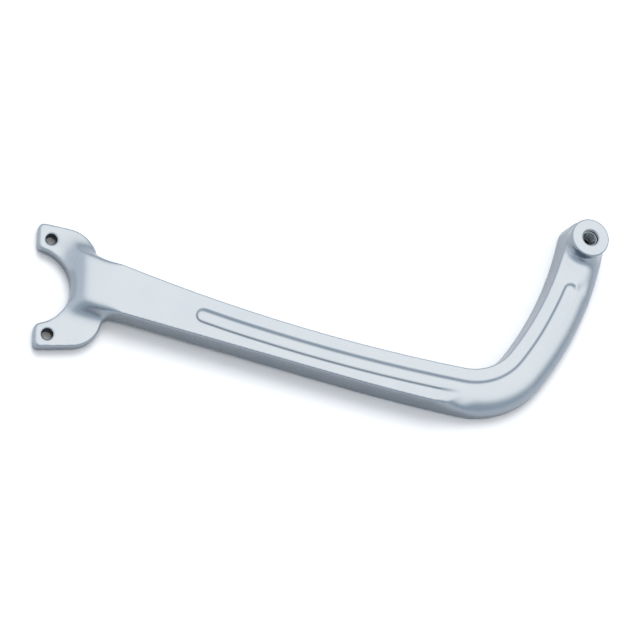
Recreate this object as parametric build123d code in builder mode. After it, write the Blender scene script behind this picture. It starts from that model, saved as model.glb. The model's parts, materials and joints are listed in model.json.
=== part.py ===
from build123d import *
from math import acos, cos, degrees, radians, sin, tan
import os

os.makedirs("parts", exist_ok=True)

# Heel shift lever: a one-piece casting, in millimetres.
# The origin is midway between the two lug holes, on the back face of the lugs.
# +Z points to the grooved front face, +X runs from the fork along the lever,
# and the lug holes lie on the Y axis.

# Heights above the back face of the lugs
lug_thickness = 6.5
front_height = 15.0
boss_height = 8.0
draft_angle = 4.5

# Fork: two lugs on either side of a round cut-out
hole_spacing = 50.0
hole_diameter = 5.5
hole_chamfer = 0.3
cutout_radius = 19.9
cutout_offset = 9.0
lug_end = 5.9
lug_tip_radius = 3.0
lug_corner_radius = 2.0

# Outline of the fork on the front plane: lug corner, shoulder and neck, above and below the arm
upper_corner_y = 33.0
upper_shoulder_x = 19.3
upper_shoulder_y = 29.4
upper_shoulder_radius = 15.4
upper_neck_x = 23.2
upper_neck_radius = 6.7
lower_corner_y = -31.5
lower_shoulder_x = 23.6
lower_shoulder_y = -28.5
lower_shoulder_radius = 15.5
lower_neck_x = 27.0
lower_neck_radius = 5.4

# Riser from the lugs to the arm, with a curved foot along the arm
riser_start = 4.0
riser_radius = 9.65
foot_radius = 8.5

# Front edges of the arm, from the neck's end along the arm, round the bend and up the upright
# to the boss: height and direction at the start, then radius and sweep of each stretch
neck_end = 45.0
inner_start_y = 9.1
inner_start_angle = -17.2
inner_arm_radius = 938.0
inner_arm_angle = 10.6
inner_bend_radius = 27.8
inner_bend_angle = 59.0
inner_upright_radius = 184.0
inner_upright_angle = 23.4
outer_start_y = -15.8
outer_start_angle = -11.5
outer_straight = 107.0
outer_arm_radius = 1100.0
outer_arm_angle = 3.4
outer_bend_radius = 47.2
outer_bend_angle = 59.3

# End of the upright, square with rounded corners, and the boss on it
boss_inset = 10.3
boss_margin = 12.5
end_margin = 11.5
end_radius = 9.0
boss_diameter = 21.0
boss_rim_radius = 1.0
thread_diameter = 8.0
thread_depth = 15.0
thread_chamfer = 0.4

# Back of the arm, sloped up from the arm's middle to the neck
relief_depth = 2.4
relief_start = 40.0
relief_ramp = 12.0
relief_end = 155.0

# Groove along the front face, round at both ends
groove_depth = 1.5
groove_width = 8.0
groove_inset = 6.6
groove_gap = 31.0
groove_length = 231.5

# Rounded outer side of the upright and of the bend, which cuts the groove's outer wall away
roll_height = 2.5
roll_margin = 0.2
roll_overlap = 15.0
run_out_radius = 25.0
run_out_angle = 45.0
run_out_start = 10.0

# Room that the cutting shapes have past the casting
over = 5.0
wide = 60.0

draft_slope = tan(radians(draft_angle))
groove_floor = front_height - groove_depth


def turned(heading):
    """The direction to the right of a heading."""
    return Vector(heading.Y, -heading.X)


def run(start, heading, curves):
    """Arcs that follow each other and turn left, each given by its radius and angle."""
    arcs = []
    for radius, angle in curves:
        arcs.append(JernArc(start, heading, radius, angle))
        start, heading = arcs[-1] @ 1, arcs[-1] % 1
    return arcs


inner_heading = Vector(1, 0).rotate(Axis.Z, inner_start_angle)
outer_heading = Vector(1, 0).rotate(Axis.Z, outer_start_angle)
inner_edge = Vector(neck_end, inner_start_y)
outer_edge = Vector(neck_end, outer_start_y)


def inner_line(inset):
    """Line from the neck to the boss, at an inset from the inner edge."""
    curves = [
        (inner_arm_radius + inset, inner_arm_angle),
        (inner_bend_radius + inset, inner_bend_angle),
        (inner_upright_radius + inset, inner_upright_angle),
    ]
    return run(inner_edge + turned(inner_heading) * inset, inner_heading, curves)


upright_heading = inner_line(0)[-1] % 1
boss_center = inner_line(boss_inset)[-1] @ 1


def outer_line(inset):
    """Line from the neck to the boss, at an inset from the outer edge."""
    curves = [(outer_arm_radius - inset, outer_arm_angle), (outer_bend_radius - inset, outer_bend_angle)]
    start = outer_edge - turned(outer_heading) * inset
    straight = Line(start, start + outer_heading * outer_straight)
    arcs = run(straight @ 1, outer_heading, curves)
    end = boss_center + turned(upright_heading) * (boss_margin - inset)
    return [straight] + arcs + [TangentArc(arcs[-1] @ 1, end, tangent=arcs[-1] % 1)]


def fork_line(edge, heading, neck_x, shoulder, corner, radii):
    """Outline of the fork on one side, from the start of the arm's edge to the middle of the lug ends."""
    neck = edge + heading * ((neck_x - edge.X) / heading.X)
    return FilletPolyline(edge, neck, shoulder, corner, (-lug_end, 0), radius=radii)


# Outline of the front face, widened by the draft towards the back
with BuildPart() as blank:
    with BuildSketch(Plane.XY.offset(front_height)):
        with BuildLine():
            inner = inner_line(0)
            outer = outer_line(0)
            beyond = upright_heading * end_margin
            FilletPolyline(
                inner[-1] @ 1, inner[-1] @ 1 + beyond, outer[-1] @ 1 + beyond, outer[-1] @ 1, radius=end_radius
            )
            fork_line(
                inner_edge, inner_heading, upper_neck_x,
                (upper_shoulder_x, upper_shoulder_y), (-lug_end, upper_corner_y),
                [upper_neck_radius, upper_shoulder_radius, lug_corner_radius],
            )
            fork_line(
                outer_edge, outer_heading, lower_neck_x,
                (lower_shoulder_x, lower_shoulder_y), (-lug_end, lower_corner_y),
                [lower_neck_radius, lower_shoulder_radius, lug_corner_radius],
            )
        make_face()
    extrude(amount=-front_height, taper=-draft_angle)

    # Round cut-out between the lugs, with rounded lug tips
    with BuildSketch():
        with Locations((-cutout_offset, 0)):
            Circle(cutout_radius)
    extrude(amount=front_height, mode=Mode.SUBTRACT)
    upright_edges = blank.edges(Select.LAST).filter_by(lambda edge: edge.bounding_box().size.Z > lug_thickness / 2)
    fillet(upright_edges.sort_by(Axis.X)[:2], lug_tip_radius)

# Space over the lugs, up to the S-shaped riser
with BuildPart() as over_lugs:
    riser_height = front_height - lug_thickness
    riser_angle = degrees(acos(1 - riser_height / (2 * riser_radius)))
    with BuildSketch(Plane.XZ):
        with BuildLine():
            lug = Line((-lug_end - over, lug_thickness), (riser_start, lug_thickness))
            foot = JernArc(lug @ 1, (1, 0), riser_radius, riser_angle)
            crest = JernArc(foot @ 1, foot % 1, riser_radius, -riser_angle)
            Polyline(crest @ 1, (crest @ 1) + Vector(0, over), (lug @ 0) + Vector(0, riser_height + over), lug @ 0)
        make_face()
    extrude(amount=wide, both=True)


def beside_neck(edge, heading, side):
    """Space over a lug beside the neck, with a curved foot; side is 1 above the arm and -1 below it."""
    with BuildPart() as space:
        with BuildSketch(Plane(edge, x_dir=turned(heading) * -side, z_dir=heading * side)):
            with BuildLine():
                wall = FilletPolyline(
                    (-over * draft_slope, front_height + over),
                    ((front_height - lug_thickness) * draft_slope, lug_thickness),
                    (wide, lug_thickness),
                    radius=foot_radius,
                )
                Polyline(wall @ 1, (wide, front_height + over), wall @ 0)
            make_face()
        extrude(amount=-side * wide)
    return space.part


# Space behind the arm
with BuildPart() as behind:
    with BuildSketch(Plane.XZ):
        Polygon(
            (relief_start - relief_ramp, 0), (relief_start, relief_depth), (relief_end, 0),
            (relief_end, -over), (relief_start - relief_ramp, -over), align=None,
        )
    extrude(amount=wide, both=True)


def run_out(point, heading, side):
    """Arc that leaves a line towards its outer side; side is 1 ahead of the point and -1 behind it."""
    arc = JernArc(point, heading * side, run_out_radius, -side * run_out_angle)
    return arc if side > 0 else ThreePointArc(arc @ 1, arc @ 0.5, arc @ 0)


def edge_roll(radius):
    """Centre lines of a rounded outer edge in the bend and up the upright."""
    return outer_line(radius - (front_height - roll_height) * draft_slope - roll_margin)[2:]


def rounded_side(radius, pieces):
    """Space outside a rounded outer edge, along the pieces of its centre line."""
    start = pieces[0]
    with BuildPart() as space:
        with BuildSketch(Plane(start @ 0, x_dir=turned(start % 0), z_dir=-(start % 0))):
            with BuildLine():
                arc = CenterArc((0, roll_height), radius, 0, 90)
                Polyline(
                    arc @ 0, (radius + over, roll_height), (radius + over, front_height + over),
                    (0, front_height + over), arc @ 1,
                )
            make_face()
        sweep(path=Wire(pieces))
    return space.part


# Beside the boss the edge is rounded from the front face down
bend, upright = edge_roll(front_height - roll_height)
upright = upright.trim(1 - (groove_gap + roll_overlap) / upright.length, 1)
upright_roll = rounded_side(
    front_height - roll_height, [upright, Line(upright @ 1, upright @ 1 + (upright % 1) * (end_margin + over))]
)

# Beside the groove it is rounded from the groove's floor down, and runs out at both ends
bend, upright = edge_roll(groove_floor - roll_height)
bend = bend.trim(run_out_start / outer_bend_angle, 1)
upright = upright.trim(0, 1 - groove_gap / upright.length)
bend_roll = rounded_side(
    groove_floor - roll_height,
    [run_out(bend @ 0, bend % 0, -1), bend, upright, run_out(upright @ 1, upright % 1, 1)],
)

# Space in the groove, with sloped walls and round ends
with BuildPart() as groove:
    with BuildLine() as groove_line:
        inner_line(groove_inset + groove_width / 2)
    whole = groove_line.wire()
    path = whole.trim(1 - (groove_gap + groove_length) / whole.length, 1 - groove_gap / whole.length)
    floor = groove_width / 2 - groove_depth
    mouth = groove_width / 2 + over
    with BuildSketch(Plane(path @ 0, x_dir=turned(path % 0), z_dir=-(path % 0))):
        Polygon(
            (-mouth, front_height + over), (-floor, groove_floor),
            (floor, groove_floor), (mouth, front_height + over), align=None,
        )
    sweep(path=path)
    for end in (path @ 0, path @ 1):
        with BuildSketch(Plane(end, x_dir=(1, 0, 0), z_dir=(0, -1, 0))):
            Polygon(
                (0, groove_floor), (floor, groove_floor),
                (mouth, front_height + over), (0, front_height + over), align=None,
            )
        revolve(axis=Axis(end, (0, 0, 1)))

# Boss with a rounded rim, from inside the arm up
with BuildPart() as boss:
    with BuildSketch(Plane.XY.offset(roll_height)):
        with Locations(boss_center):
            Circle(boss_diameter / 2)
    extrude(amount=front_height + boss_height - roll_height)
    fillet(boss.faces().sort_by(Axis.Z)[-1].edges(), boss_rim_radius)

above_neck = beside_neck(inner_edge, inner_heading, 1)
below_neck = beside_neck(outer_edge, outer_heading, -1)

with BuildPart() as lever:
    add(blank)
    for space in (over_lugs.part, above_neck, below_neck, behind.part, upright_roll, bend_roll, groove.part):
        add(space, mode=Mode.SUBTRACT)
    add(boss)

    # Threaded hole
    with Locations(boss_center + Vector(0, 0, front_height + boss_height)):
        CounterSinkHole(
            thread_diameter / 2, thread_diameter / 2 + thread_chamfer, depth=thread_depth, counter_sink_angle=90
        )

    # Lug holes
    with Locations(*((0, y, lug_thickness) for y in (-hole_spacing / 2, hole_spacing / 2))):
        CounterSinkHole(
            hole_diameter / 2, hole_diameter / 2 + hole_chamfer, depth=lug_thickness, counter_sink_angle=90
        )

lever.part.label = "heel_shift_lever"
export_step(lever.part, "parts/heel_shift_lever.step")
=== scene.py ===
import json
from math import cos, pi, radians, sin, tau

import bmesh
import bpy
import numpy as np
from mathutils import Matrix, Vector
from mathutils.bvhtree import BVHTree
from mathutils.kdtree import KDTree


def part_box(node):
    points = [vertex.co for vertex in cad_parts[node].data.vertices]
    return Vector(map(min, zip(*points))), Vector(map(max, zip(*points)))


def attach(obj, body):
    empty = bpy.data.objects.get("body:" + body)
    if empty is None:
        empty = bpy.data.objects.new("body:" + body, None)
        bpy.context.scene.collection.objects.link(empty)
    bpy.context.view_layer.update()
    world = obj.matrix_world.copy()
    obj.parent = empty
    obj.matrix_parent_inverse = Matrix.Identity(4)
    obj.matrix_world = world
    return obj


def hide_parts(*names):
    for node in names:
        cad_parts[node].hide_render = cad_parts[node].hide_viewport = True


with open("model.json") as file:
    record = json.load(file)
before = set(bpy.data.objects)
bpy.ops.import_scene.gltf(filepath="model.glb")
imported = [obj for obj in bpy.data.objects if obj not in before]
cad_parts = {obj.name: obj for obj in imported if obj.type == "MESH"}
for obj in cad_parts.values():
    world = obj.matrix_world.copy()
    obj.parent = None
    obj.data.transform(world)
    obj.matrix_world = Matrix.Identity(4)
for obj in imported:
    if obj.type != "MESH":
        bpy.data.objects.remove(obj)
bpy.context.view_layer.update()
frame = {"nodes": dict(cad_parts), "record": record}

MM = 0.001
LEVER = "heel_shift_lever"
UP = Vector((0, 0, 1))

# Camera as in the photograph: where it looks, from which side, how far off and how it is turned
CAMERA_TARGET = Vector((139.44, -5.2, 6.5)) * MM
CAMERA_AZIMUTH = -36.77
CAMERA_ELEVATION = 66.61
CAMERA_ROLL = 39.57
CAMERA_DISTANCE = 1228.8 * MM
CAMERA_LENS = 135.0
SENSOR_WIDTH = 36.0

# Light: a pale tent with a large soft box overhead, a little to the right and to the back,
# a dimmer panel at the fork's side and a darker gap low in front; each begins where the cosine of the
# angle from its middle is its EDGE and is full from its FULL on, and the box fades out towards the horizon
SOFT_BOX = Vector((0.32, 0.22, 0.92)).normalized()
SOFT_BOX_COLOUR = (2.72, 2.60, 2.46, 1.0)
SOFT_BOX_EDGE = 0.40
SOFT_BOX_FULL = 0.96
SOFT_BOX_HORIZON = (0.05, 0.35)
SIDE_PANEL = Vector((-0.85, 0.35, 0.40)).normalized()
SIDE_PANEL_COLOUR = (1.52, 1.56, 1.62, 1.0)
SIDE_PANEL_EDGE = 0.30
SIDE_PANEL_FULL = 0.90
TENT_COLOUR = (0.90, 1.0, 1.10, 1.0)
TENT_GAP = Vector((-0.03, -0.98, 0.13)).normalized()
TENT_GAP_COLOUR = (0.38, 0.42, 0.47, 1.0)
TENT_GAP_EDGE = 0.940
TENT_GAP_FULL = 0.990
LAMP_FROM = Vector((0.0, 0.75, 1.0))
LAMP_STRENGTH = 3.6
LAMP_ANGLE = radians(36)
FLOOR_SIZE = 3.0
FLOOR_DROP = 0.05 * MM
FLOOR_COLOUR = (0.425, 0.443, 0.468, 1.0)
FLOOR_ROUGHNESS = 0.9

# Chrome plate, with the part of a noise's range that is spread out over it
CHROME_COLOUR = (0.258, 0.292, 0.330, 1.0)
HAZE_COLOUR = (0.272, 0.306, 0.342, 1.0)
CHROME_ROUGHNESS = (0.23, 0.30)
NOISE_RANGE = (0.3, 0.7)
HAZE_SCALE = 55.0
WAVE_SCALE = 90.0
WAVE_STRENGTH = 0.25
WAVE_HEIGHT = 0.08 * MM
GRAIN_SCALE = 2400.0
GRAIN_STRENGTH = 0.12
GRAIN_HEIGHT = 0.01 * MM

# Bare metal in the holes, with its colour painted near black as the shade deep inside them
BORE_SHADE_COLOUR = (0.035, 0.037, 0.042, 1.0)
BORE_ROUGHNESS = (0.32, 0.48)
RING_SCALE = 900.0
RING_DISTORTION = 1.5
RING_STRENGTH = 0.3
RING_HEIGHT = 0.03 * MM

# Softened edges of the plated casting; a face is steep where its normal rises less than STEEP
WELD_DISTANCE = 0.001 * MM
VOXEL = 0.6 * MM
SMOOTHING_STEP = 0.6
SHARP_ANGLE = radians(20)
EDGE_STEP = 0.3 * MM
STEEP = 0.35
WALL_EDGE_REACH = 1.9 * MM
WALL_EDGE_ROUNDS = 6
GROOVE_EDGE_REACH = 1.4 * MM
GROOVE_EDGE_ROUNDS = 3
EVEN_ROUNDS = 2

# The neck and the ends of the rounded edge run smoothly into the faces beside them
NECK_START = 0 * MM
NECK_FULL = (7 * MM, 24 * MM)
NECK_END = 36 * MM
NECK_FLOOR = (7.0 * MM, 9.0 * MM)
LUG_FACE = 6.2 * MM
LUG_EDGE_REACH = 1.8 * MM
NECK_ROUNDS = 110
RUN_OUTS = (Vector((206, -45.5, 13)) * MM, Vector((212, -45, 13)) * MM, Vector((282, 26, 11)) * MM)
RUN_OUT_REACH = (3 * MM, 9 * MM)
RUN_OUT_ROUNDS = 45

# The groove's ends are slid along it to where they are in the photograph: place, direction, distance,
# and how far behind and ahead the shift fades out
GROOVE_ENDS = (
    (Vector((72.6, -9.97, 0)) * MM, Vector((0.9647, -0.2633, 0)), 4.4 * MM, 12 * MM, 40 * MM),
    (Vector((272.7, 19.23, 0)) * MM, Vector((0.396, 0.9183, 0)), 2.0 * MM, 30 * MM, 12 * MM),
)
SLIDE_FULL_BEHIND = 1 / 3
SLIDE_FULL_AHEAD = 1 / 4
SLIDE_BESIDE = (5.5 * MM, 8.0 * MM)
SLIDE_ABOVE = 11 * MM

# Flare round the foot of the boss
BOSS_RADIUS = 10.5 * MM
FLARE_RADIUS = 5.5 * MM
FLARE_TURN_STEPS = 120
FLARE_ARC_STEPS = 10
FLARE_SINK = 1.2 * MM
FLARE_LEAST = 0.15 * MM
FLARE_INSIDE = 1 * MM
FLARE_NEIGHBOURS = 4
FLARE_FALL = 3 * MM

# Room beside the boss, felt out by rays from above, on faces whose normals rise more than LEVEL
RAY_START = 100 * MM
RAY_OUTSIDE = 0.1 * MM
ROOM_STEP = 0.2 * MM
ROOM_MARGIN = 0.3 * MM
LEVEL = 0.5

# Holes: depth, the rim that stays plated, and how far past its radius a wall's faces are looked for
BORE_DEPTH = 15 * MM
LUG_THICKNESS = 6.5 * MM
BORE_RIM = 0.5 * MM
BORE_SKIN = 0.2 * MM

# Thread in the boss; the half widths of its ridge are shares of the pitch, and it rises and ends
# over one part in THREAD_ENDS of its length
THREAD_RADIUS = 4 * MM
THREAD_MINOR = 3.4 * MM
THREAD_PITCH = 1.25 * MM
THREAD_ROOT = 0.45
THREAD_CREST = 0.07
THREAD_SINK = 0.05 * MM
THREAD_MARGIN = 1.0 * MM
THREAD_ENDS = 12
THREAD_TURN_STEPS = 48


def add_camera():
    """Camera at the photograph's viewing angle."""
    azimuth, elevation, roll = (radians(a) for a in (CAMERA_AZIMUTH, CAMERA_ELEVATION, CAMERA_ROLL))
    back = Vector((sin(azimuth) * cos(elevation), -cos(azimuth) * cos(elevation), sin(elevation)))
    level = Vector((cos(azimuth), sin(azimuth), 0))
    right = cos(roll) * level + sin(roll) * back.cross(level)
    up = back.cross(right)
    data = bpy.data.cameras.new("camera")
    data.sensor_width = SENSOR_WIDTH
    data.lens = CAMERA_LENS
    camera = bpy.data.objects.new("camera", data)
    bpy.context.scene.collection.objects.link(camera)
    turn = Matrix((right, up, back)).transposed().to_4x4()
    camera.matrix_world = Matrix.Translation(CAMERA_TARGET + back * CAMERA_DISTANCE) @ turn
    bpy.context.scene.camera = camera


def add_world():
    """Pale tent with a soft box overhead, a dimmer panel at the fork's side and a darker gap low in front."""
    world = bpy.data.worlds.new("studio")
    world.use_nodes = True
    nodes, links = world.node_tree.nodes, world.node_tree.links
    place = nodes.new("ShaderNodeTexCoord").outputs["Generated"]

    def ramped(value, low, high):
        node = nodes.new("ShaderNodeMapRange")
        node.interpolation_type = "SMOOTHSTEP"
        node.inputs["From Min"].default_value = low
        node.inputs["From Max"].default_value = high
        links.new(value, node.inputs["Value"])
        return node.outputs["Result"]

    def towards(direction, edge, full):
        node = nodes.new("ShaderNodeVectorMath")
        node.operation = "DOT_PRODUCT"
        node.inputs[1].default_value = direction
        links.new(place, node.inputs[0])
        return ramped(node.outputs["Value"], edge, full)

    def mixed(share, under, over):
        node = nodes.new("ShaderNodeMix")
        node.data_type = "RGBA"
        links.new(share, node.inputs["Factor"])
        if isinstance(under, tuple):
            node.inputs["A"].default_value = under
        else:
            links.new(under, node.inputs["A"])
        node.inputs["B"].default_value = over
        return node.outputs["Result"]

    height = nodes.new("ShaderNodeSeparateXYZ")
    links.new(place, height.inputs[0])
    box = nodes.new("ShaderNodeMath")
    box.operation = "MULTIPLY"
    links.new(towards(SOFT_BOX, SOFT_BOX_EDGE, SOFT_BOX_FULL), box.inputs[0])
    links.new(ramped(height.outputs["Z"], *SOFT_BOX_HORIZON), box.inputs[1])
    light = mixed(towards(SIDE_PANEL, SIDE_PANEL_EDGE, SIDE_PANEL_FULL), TENT_COLOUR, SIDE_PANEL_COLOUR)
    light = mixed(box.outputs["Value"], light, SOFT_BOX_COLOUR)
    light = mixed(towards(TENT_GAP, TENT_GAP_EDGE, TENT_GAP_FULL), light, TENT_GAP_COLOUR)
    links.new(light, nodes["Background"].inputs["Color"])
    bpy.context.scene.world = world


def add_lamp():
    """Large soft lamp from behind, for the shadow on the floor."""
    data = bpy.data.lights.new("lamp", "SUN")
    data.energy = LAMP_STRENGTH
    data.angle = LAMP_ANGLE
    lamp = bpy.data.objects.new("lamp", data)
    lamp.rotation_mode = "QUATERNION"
    lamp.rotation_quaternion = LAMP_FROM.to_track_quat("Z", "Y")
    lamp.visible_glossy = False
    bpy.context.scene.collection.objects.link(lamp)


def add_floor():
    """Plain pale floor under the lever."""
    mesh = bpy.data.meshes.new("floor")
    low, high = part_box(LEVER)
    middle = (low + high) / 2
    half = FLOOR_SIZE / 2
    corners = [(middle.x + sx * half, middle.y + sy * half, low.z - FLOOR_DROP)
               for sx, sy in ((-1, -1), (1, -1), (1, 1), (-1, 1))]
    mesh.from_pydata(corners, [], [(0, 1, 2, 3)])
    floor = bpy.data.objects.new("floor", mesh)
    bpy.context.scene.collection.objects.link(floor)
    material = bpy.data.materials.new("floor")
    material.use_nodes = True
    shader = material.node_tree.nodes["Principled BSDF"]
    shader.inputs["Base Color"].default_value = FLOOR_COLOUR
    shader.inputs["Roughness"].default_value = FLOOR_ROUGHNESS
    shader.inputs["Specular IOR Level"].default_value = 0.0
    mesh.materials.append(material)


def bumped(material, height, strength, distance, under=None):
    """Normal of a surface with small bumps, over another normal where one is given."""
    bump = material.node_tree.nodes.new("ShaderNodeBump")
    bump.inputs["Strength"].default_value = strength
    bump.inputs["Distance"].default_value = distance
    material.node_tree.links.new(height, bump.inputs["Height"])
    if under is not None:
        material.node_tree.links.new(under, bump.inputs["Normal"])
    return bump.outputs["Normal"]


def chrome_material():
    """Bright plate over a smooth casting: slow waves, a fine satin grain and faint hazy patches."""
    material = bpy.data.materials.new("chrome")
    material.use_nodes = True
    nodes, links = material.node_tree.nodes, material.node_tree.links
    shader = nodes["Principled BSDF"]
    shader.inputs["Metallic"].default_value = 1.0
    place = nodes.new("ShaderNodeTexCoord")

    def noise(scale, detail):
        node = nodes.new("ShaderNodeTexNoise")
        node.inputs["Scale"].default_value = scale
        node.inputs["Detail"].default_value = detail
        links.new(place.outputs["Object"], node.inputs["Vector"])
        return node.outputs["Fac"]

    def spread(value, low, high):
        node = nodes.new("ShaderNodeMapRange")
        node.inputs["From Min"].default_value = NOISE_RANGE[0]
        node.inputs["From Max"].default_value = NOISE_RANGE[1]
        node.inputs["To Min"].default_value = low
        node.inputs["To Max"].default_value = high
        links.new(value, node.inputs["Value"])
        return node.outputs["Result"]

    haze = noise(HAZE_SCALE, detail=3.0)
    tint = nodes.new("ShaderNodeMix")
    tint.data_type = "RGBA"
    tint.inputs["A"].default_value = CHROME_COLOUR
    tint.inputs["B"].default_value = HAZE_COLOUR
    links.new(spread(haze, 0.0, 1.0), tint.inputs["Factor"])
    links.new(tint.outputs["Result"], shader.inputs["Base Color"])
    links.new(spread(haze, *CHROME_ROUGHNESS), shader.inputs["Roughness"])

    waves = bumped(material, noise(WAVE_SCALE, detail=1.0), WAVE_STRENGTH, WAVE_HEIGHT)
    grain = bumped(material, noise(GRAIN_SCALE, detail=2.0), GRAIN_STRENGTH, GRAIN_HEIGHT, waves)
    links.new(grain, shader.inputs["Normal"])
    return material


def bore_shade_material():
    """Bare metal in the holes with the fine rings of the drill, its colour painted near black as shade."""
    material = bpy.data.materials.new("bore")
    material.use_nodes = True
    nodes, links = material.node_tree.nodes, material.node_tree.links
    shader = nodes["Principled BSDF"]
    shader.inputs["Metallic"].default_value = 1.0
    shader.inputs["Base Color"].default_value = BORE_SHADE_COLOUR
    place = nodes.new("ShaderNodeTexCoord")
    rings = nodes.new("ShaderNodeTexWave")
    rings.bands_direction = "Z"
    rings.inputs["Scale"].default_value = RING_SCALE
    rings.inputs["Distortion"].default_value = RING_DISTORTION
    links.new(place.outputs["Object"], rings.inputs["Vector"])
    rough = nodes.new("ShaderNodeMapRange")
    rough.inputs["To Min"].default_value = BORE_ROUGHNESS[0]
    rough.inputs["To Max"].default_value = BORE_ROUGHNESS[1]
    links.new(rings.outputs["Fac"], rough.inputs["Value"])
    links.new(rough.outputs["Result"], shader.inputs["Roughness"])
    links.new(bumped(material, rings.outputs["Fac"], RING_STRENGTH, RING_HEIGHT), shader.inputs["Normal"])
    return material


def add_object(name, mesh, *materials):
    """Object with a mesh and its materials, shaded smooth."""
    mesh.materials.clear()
    for material in materials:
        mesh.materials.append(material)
    mesh.shade_smooth()
    piece = bpy.data.objects.new(name, mesh)
    bpy.context.scene.collection.objects.link(piece)
    return piece


def welded(mesh):
    """The CAD mesh with its faces joined along their edges."""
    solid = bmesh.new()
    solid.from_mesh(mesh)
    bmesh.ops.remove_doubles(solid, verts=solid.verts, dist=WELD_DISTANCE)
    return solid


def edge_trees(solid):
    """Points along the sharp edges of a solid: those of its steep walls, and the others."""
    wall_points, other_points = [], []
    for edge in solid.edges:
        if len(edge.link_faces) == 2 and edge.calc_face_angle() > SHARP_ANGLE:
            start, end = (vert.co for vert in edge.verts)
            count = max(1, round((end - start).length / EDGE_STEP))
            steep = any(abs(face.normal.z) < STEEP for face in edge.link_faces)
            points = wall_points if steep else other_points
            points.extend(start.lerp(end, i / count) for i in range(count + 1))
    trees = []
    for points in (wall_points, other_points):
        tree = KDTree(len(points))
        for index, point in enumerate(points):
            tree.insert(point, index)
        tree.balance()
        trees.append(tree)
    return trees


def at_turn(axis_point, turn, radius, z):
    """Point at an angle round the boss's axis, a radius from it and a height."""
    return Vector((axis_point.x + radius * cos(turn), axis_point.y + radius * sin(turn), z))


def bridge(solid, rings):
    """Faces between each ring of vertices and the next one."""
    for ring, following in zip(rings, rings[1:]):
        for i in range(len(ring)):
            k = (i + 1) % len(ring)
            solid.faces.new((ring[i], following[i], following[k], ring[k]))


def add_flare(solid, surface, axis_point):
    """Ring that rounds the inner corner at the foot of the boss, as wide as the arm leaves room for."""

    def height(turn, radius):
        """Height of the arm's front face, or none where it is steep or missing."""
        hit, normal, _, _ = surface.ray_cast(at_turn(axis_point, turn, radius, RAY_START), -UP)
        return hit.z if hit and normal.z > LEVEL else None

    def room(turn):
        """Width of the front face beside the boss, up to the flare's radius."""
        width = 0.0
        while width < FLARE_RADIUS and height(turn, BOSS_RADIUS + width + ROOM_MARGIN) is not None:
            width += ROOM_STEP
        return width

    def section(turn, size):
        """Radii and heights round the flare: out along its face, and back below the arm's front face."""
        base = height(turn, BOSS_RADIUS + RAY_OUTSIDE) or axis_point.z - FLARE_FALL
        top, below = [], []
        for step in range(FLARE_ARC_STEPS + 1):
            angle = pi / 2 * step / FLARE_ARC_STEPS
            radius = BOSS_RADIUS + size * (1 - cos(angle))
            base = height(turn, radius + RAY_OUTSIDE) or base
            top.append((radius, base + size * (1 - sin(angle))))
            below.append((radius, base - FLARE_SINK))
        inside = BOSS_RADIUS - FLARE_INSIDE
        return [(inside, top[0][1])] + top + below[::-1] + [(inside, below[0][1])]

    turns = [tau * i / FLARE_TURN_STEPS for i in range(FLARE_TURN_STEPS)]
    rooms = [room(turn) for turn in turns]
    rings = []
    for i, turn in enumerate(turns):
        beside = [rooms[(i + k) % len(rooms)] for k in range(-FLARE_NEIGHBOURS, FLARE_NEIGHBOURS + 1)]
        size = min(max(FLARE_LEAST, sum(beside) / len(beside)), rooms[i] + RAY_OUTSIDE)
        rings.append([
            solid.verts.new(at_turn(axis_point, turn, radius, z)) for radius, z in section(turn, size)
        ])
    bridge(solid, rings + rings[:1])


def remeshed(mesh):
    """Even quads over a closed mesh."""
    scratch = bpy.data.objects.new("scratch", mesh)
    bpy.context.scene.collection.objects.link(scratch)
    modifier = scratch.modifiers.new("remesh", "REMESH")
    modifier.mode = "VOXEL"
    modifier.voxel_size = VOXEL
    modifier.adaptivity = 0.0
    bpy.context.view_layer.update()
    result = bpy.data.meshes.new_from_object(scratch.evaluated_get(bpy.context.evaluated_depsgraph_get()))
    bpy.data.objects.remove(scratch)
    return result


def vertex_places(mesh):
    """The places of a mesh's vertices, one row each."""
    flat = np.empty(len(mesh.vertices) * 3)
    mesh.vertices.foreach_get("co", flat)
    return flat.reshape(-1, 3)


def smooth(mesh, weight, rounds):
    """Moves each vertex towards the middle of its neighbours, by its weight."""
    places = vertex_places(mesh)
    count = len(places)
    pairs = np.empty(len(mesh.edges) * 2, np.int64)
    mesh.edges.foreach_get("vertices", pairs)
    first, second = pairs.reshape(-1, 2).T
    degree = np.bincount(first, minlength=count) + np.bincount(second, minlength=count)
    for _ in range(rounds):
        around = np.column_stack([
            np.bincount(first, places[second, k], count) + np.bincount(second, places[first, k], count)
            for k in range(3)
        ]) / degree[:, None]
        places = places + SMOOTHING_STEP * weight[:, None] * (around - places)
    mesh.vertices.foreach_set("co", places.ravel())
    mesh.update()


def near(mesh, tree, reach):
    """Weights that are 1 up to half the reach from a tree's points, and 0 past the reach."""
    away = np.array([tree.find(place)[2] for place in vertex_places(mesh)])
    return np.clip(2 * (1 - away / reach), 0, 1)


def ramp(values, low, high):
    """Smooth step from 0 at low to 1 at high."""
    share = np.clip((values - low) / (high - low), 0, 1)
    return share * share * (3 - 2 * share)


def neck_weight(mesh, wall_edges):
    """Weights over the riser and the start of the arm, and over the lug faces beside them."""
    x, _, z = vertex_places(mesh).T
    lug_face = (z > LUG_FACE) * (1 - near(mesh, wall_edges, LUG_EDGE_REACH))
    return (ramp(x, NECK_START, NECK_FULL[0]) * (1 - ramp(x, NECK_FULL[1], NECK_END))
            * np.maximum(ramp(z, *NECK_FLOOR), lug_face))


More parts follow.
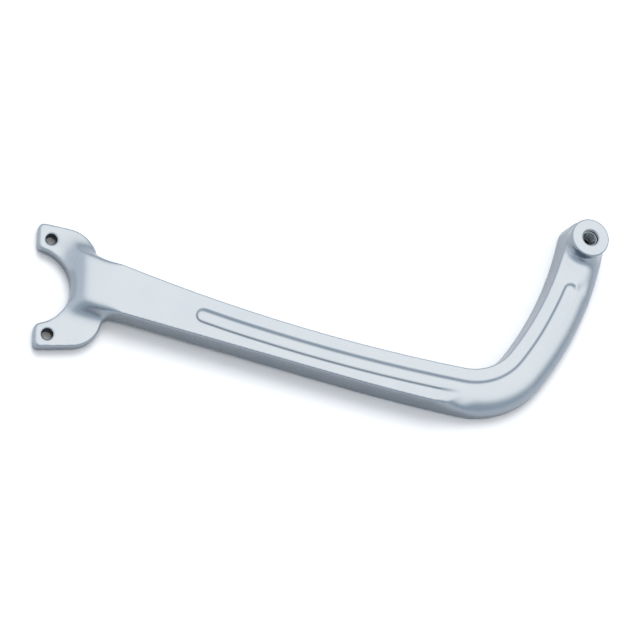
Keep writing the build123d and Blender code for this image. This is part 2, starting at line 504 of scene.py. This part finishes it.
def slide(mesh, point, direction, distance, behind, ahead):
    """Slides the front face along a direction near a point, and fades the shift out all round it."""
    places = vertex_places(mesh)
    away = places - np.array(point)
    along = away @ np.array(direction)
    across = np.abs(away @ np.array((direction.y, -direction.x, 0)))
    weight = ramp(along, -behind, -behind * SLIDE_FULL_BEHIND)
    weight *= 1 - ramp(along, ahead * SLIDE_FULL_AHEAD, ahead)
    weight *= (1 - ramp(across, *SLIDE_BESIDE)) * (places[:, 2] > SLIDE_ABOVE)
    places += weight[:, None] * distance * np.array(direction)
    mesh.vertices.foreach_set("co", places.ravel())
    mesh.update()


def mark_bores(mesh, bores):
    """Gives the walls of the holes the second material, which paints shade into them."""
    for face in mesh.polygons:
        for x, y, radius, low, high in bores:
            away = (face.center.x - x) ** 2 + (face.center.y - y) ** 2
            if low < face.center.z < high and away < radius ** 2:
                face.material_index = 1


def dressed_lever(materials, axis_point, bores):
    """The casting with softened edges and a flare round the boss."""
    solid = welded(frame["nodes"][LEVER].data)
    wall_edges, groove_edges = edge_trees(solid)
    add_flare(solid, BVHTree.FromBMesh(solid), axis_point)
    bmesh.ops.recalc_face_normals(solid, faces=solid.faces)
    mesh = bpy.data.meshes.new("casting")
    solid.to_mesh(mesh)
    solid.free()
    mesh = remeshed(mesh)
    smooth(mesh, np.ones(len(mesh.vertices)), EVEN_ROUNDS)
    smooth(mesh, near(mesh, groove_edges, GROOVE_EDGE_REACH), GROOVE_EDGE_ROUNDS)
    smooth(mesh, near(mesh, wall_edges, WALL_EDGE_REACH), WALL_EDGE_ROUNDS)
    smooth(mesh, neck_weight(mesh, wall_edges), NECK_ROUNDS)
    for point in RUN_OUTS:
        away = np.linalg.norm(vertex_places(mesh) - np.array(point), axis=1)
        smooth(mesh, 1 - ramp(away, *RUN_OUT_REACH), RUN_OUT_ROUNDS)
    for end in GROOVE_ENDS:
        slide(mesh, *end)
    piece = add_object("plated_casting", mesh, *materials)
    mark_bores(mesh, bores)
    return piece


def thread(axis_point, top, bottom, material):
    """Ridge of the thread: a helix with a flat crest, from near the mouth of the bore down."""
    bore = THREAD_RADIUS + THREAD_SINK
    turns = (top - bottom) / THREAD_PITCH
    steps = round(turns * THREAD_TURN_STEPS)
    ridge = bmesh.new()
    rings = []
    for step in range(steps + 1):
        share = step / steps
        turn = tau * turns * share
        z = top + (bottom - top) * share
        rise = min(1.0, THREAD_ENDS * share, THREAD_ENDS * (1 - share))
        crest = bore - (bore - THREAD_MINOR) * rise
        section = ((bore, THREAD_ROOT), (crest, THREAD_CREST), (crest, -THREAD_CREST), (bore, -THREAD_ROOT))
        rings.append([
            ridge.verts.new(at_turn(axis_point, turn, radius, z + offset * THREAD_PITCH))
            for radius, offset in section
        ])
    bridge(ridge, rings)
    ridge.faces.new(rings[0])
    ridge.faces.new(reversed(rings[-1]))
    bmesh.ops.recalc_face_normals(ridge, faces=ridge.faces)
    mesh = bpy.data.meshes.new("thread")
    ridge.to_mesh(mesh)
    ridge.free()
    return add_object("peg_thread", mesh, material)


add_camera()
add_world()
add_lamp()
add_floor()
# The second material paints shade into the holes.
chrome, bore_shade = chrome_material(), bore_shade_material()
mounts = {mount["name"]: mount for mount in frame["record"]["mounts"]}
boss_axis = Vector(mounts["peg_thread"]["pos_m"])
boss_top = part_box(LEVER)[1].z
hole = mounts["fork_bolts"]["dims"]
hole_wall = hole["hole_r_mm"] * MM + BORE_SKIN
bores = [
    (0, side * hole["spacing_y_mm"] / 2 * MM, hole_wall, 0, LUG_THICKNESS - BORE_RIM) for side in (-1, 1)
]
bores.append((boss_axis.x, boss_axis.y, THREAD_RADIUS + BORE_SKIN, 0, boss_top - BORE_RIM))
casting = dressed_lever((chrome, bore_shade), boss_axis, bores)
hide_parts(LEVER)
ridge = thread(boss_axis, boss_top - THREAD_MARGIN, boss_top - BORE_DEPTH + THREAD_MARGIN, chrome)
for piece in (casting, ridge):
    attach(piece, "root")
bpy.context.scene.view_settings.view_transform = "Standard"
